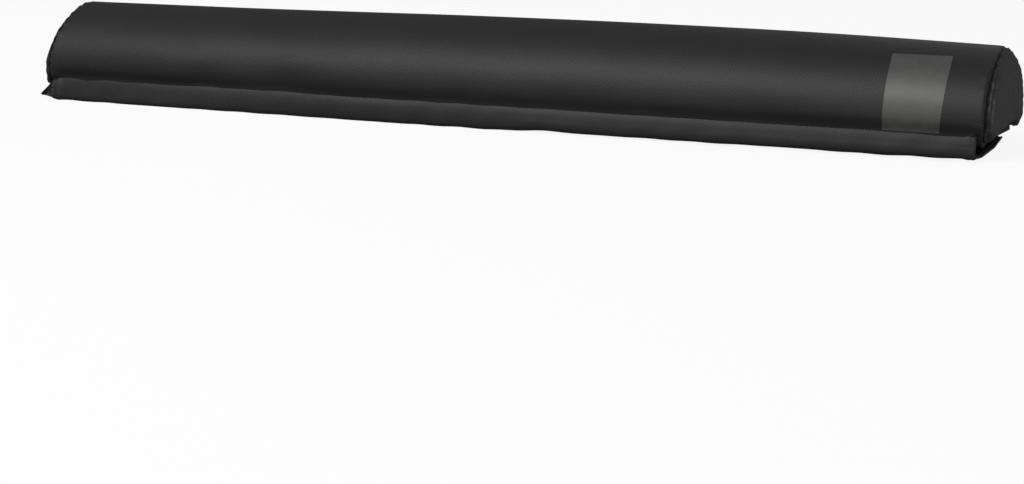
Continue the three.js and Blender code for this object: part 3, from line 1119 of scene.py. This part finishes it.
class PAD_OT_stage(bpy.types.Operator):
    """Sets the pale floor, the soft lamps and the camera"""

    bl_idname = "pad.stage"
    bl_label = "Stage"

    def execute(self, context):
        settings = context.scene.pad_stage
        context.scene.view_settings.view_transform = "Standard"
        self.floor(settings)
        self.world(context, settings)
        for name, place, width, height in LAMPS:
            self.lamp(name, place, width, height, getattr(settings, name + "_power"))
        self.camera(context, settings)
        return {"FINISHED"}

    def show_white(self, tree, path, settings, share, plain, white):
        """Mixes in plain white for the camera, through glass and, a little, in mirrors."""
        clear = add_node(
            tree, "ShaderNodeMath",
            {0: path.outputs["Is Camera Ray"], 1: path.outputs["Is Transmission Ray"]},
            operation="MAXIMUM",
        )
        seen = add_node(
            tree, "ShaderNodeMath", {0: clear.outputs[0], 1: share}, operation="MULTIPLY",
        )
        mirror = add_node(
            tree, "ShaderNodeMath",
            {0: path.outputs["Is Glossy Ray"], 1: settings.mirrored, 2: seen.outputs[0]},
            operation="MULTIPLY_ADD",
        )
        return add_node(
            tree, "ShaderNodeMixShader",
            {0: mirror.outputs[0], 1: plain.outputs[0], 2: white.outputs[0]},
        )

    def floor(self, settings):
        """A white floor that keeps a faint shadow."""
        bpy.ops.object.select_all(action="DESELECT")
        bpy.ops.mesh.primitive_plane_add(size=60, location=(0, 0, -0.3 * MM))
        floor = bpy.context.object
        floor.name = "floor"
        bpy.ops.object.transform_apply(location=True)
        material, tree = blank_material("white_paper")
        path = add_node(tree, "ShaderNodeLightPath")
        tone = add_node(
            tree, "ShaderNodeMix",
            {"Factor": path.outputs["Is Camera Ray"], "A": linear_colour(FLOOR_BOUNCE),
             "B": linear_colour(FLOOR_COLOUR)},
            data_type="RGBA",
        )
        paper = add_node(tree, "ShaderNodeBsdfDiffuse", {"Color": tone.outputs["Result"]})
        glow = add_node(tree, "ShaderNodeEmission", {"Color": WHITE, "Strength": 1.0})
        close_material(tree, self.show_white(tree, path, settings, FLOOR_GLOW, paper, glow))
        floor.data.materials.append(material)

    def world(self, context, settings):
        """A dim even room that the camera sees as white."""
        world = bpy.data.worlds.new("white_room")
        context.scene.world = world
        world.use_nodes = True
        tree = world.node_tree
        tree.nodes.clear()
        path = add_node(tree, "ShaderNodeLightPath")
        room = add_node(
            tree, "ShaderNodeBackground", {"Color": WHITE, "Strength": settings.ambient},
        )
        white = add_node(tree, "ShaderNodeBackground", {"Color": WHITE, "Strength": 1.0})
        mix = self.show_white(tree, path, settings, 1.0, room, white)
        add_node(tree, "ShaderNodeOutputWorld", {"Surface": mix.outputs[0]})

    def lamp(self, name, place, width, height, power):
        """A soft rectangular lamp that points at the pad's middle."""
        bpy.ops.object.light_add(type="AREA", location=place)
        lamp = bpy.context.object
        lamp.name = name
        lamp.data.shape = "RECTANGLE"
        lamp.data.size, lamp.data.size_y, lamp.data.energy = width, height, power
        aim = Vector(LAMP_TARGET) - Vector(place)
        lamp.rotation_euler = aim.to_track_quat("-Z", "Y").to_euler()

    def camera(self, context, settings):
        """The camera at the angle that the pad is looked at from."""
        place = Vector(settings.camera_place) + Vector((MID_X, MID_Y, 0))
        bpy.ops.object.camera_add(
            location=place, rotation=(math.pi / 2 - settings.camera_dip, 0, settings.camera_turn),
        )
        camera = bpy.context.object
        camera.data.lens, camera.data.sensor_width = settings.lens, SENSOR_WIDTH
        camera.data.clip_start, camera.data.clip_end = 0.05, 60
        context.scene.camera = camera


class PAD_PT_panel(bpy.types.Panel):
    """Lists the pad's operators and sizes"""

    bl_label = "Rack Pad"
    bl_idname = "PAD_PT_panel"
    bl_space_type = "VIEW_3D"
    bl_region_type = "UI"
    bl_category = "Rack Pad"

    def draw(self, context):
        for operator in OPERATORS:
            self.layout.operator(operator.bl_idname)
        for name, group in GROUPS.items():
            box = self.layout.box()
            box.label(text=group.__name__)
            for item in group.__annotations__:
                box.prop(getattr(context.scene, name), item)


OPERATORS = (
    PAD_OT_stage,
    PAD_OT_foam,
    PAD_OT_cover,
    PAD_OT_base,
    PAD_OT_end_caps,
    PAD_OT_flap,
    PAD_OT_hook_tape,
    PAD_OT_loop_tape,
    PAD_OT_patch,
    PAD_OT_stitches,
)
GROUPS = {
    "pad_cover": CoverSettings,
    "pad_flap": FlapSettings,
    "pad_tapes": TapeSettings,
    "pad_patch": PatchSettings,
    "pad_seams": SeamSettings,
    "pad_stage": StageSettings,
}


def register():
    for group in GROUPS.values():
        bpy.utils.register_class(group)
    for name, group in GROUPS.items():
        setattr(bpy.types.Scene, name, PointerProperty(type=group))
    for made in (*OPERATORS, PAD_PT_panel):
        bpy.utils.register_class(made)


def unregister():
    for made in (PAD_PT_panel, *reversed(OPERATORS)):
        bpy.utils.unregister_class(made)
    for name in GROUPS:
        delattr(bpy.types.Scene, name)
    for group in reversed(GROUPS.values()):
        bpy.utils.unregister_class(group)


def main():
    register()
    for operator in OPERATORS:
        group, name = operator.bl_idname.split(".")
        getattr(getattr(bpy.ops, group), name)()


if __name__ == "__main__":
    main()
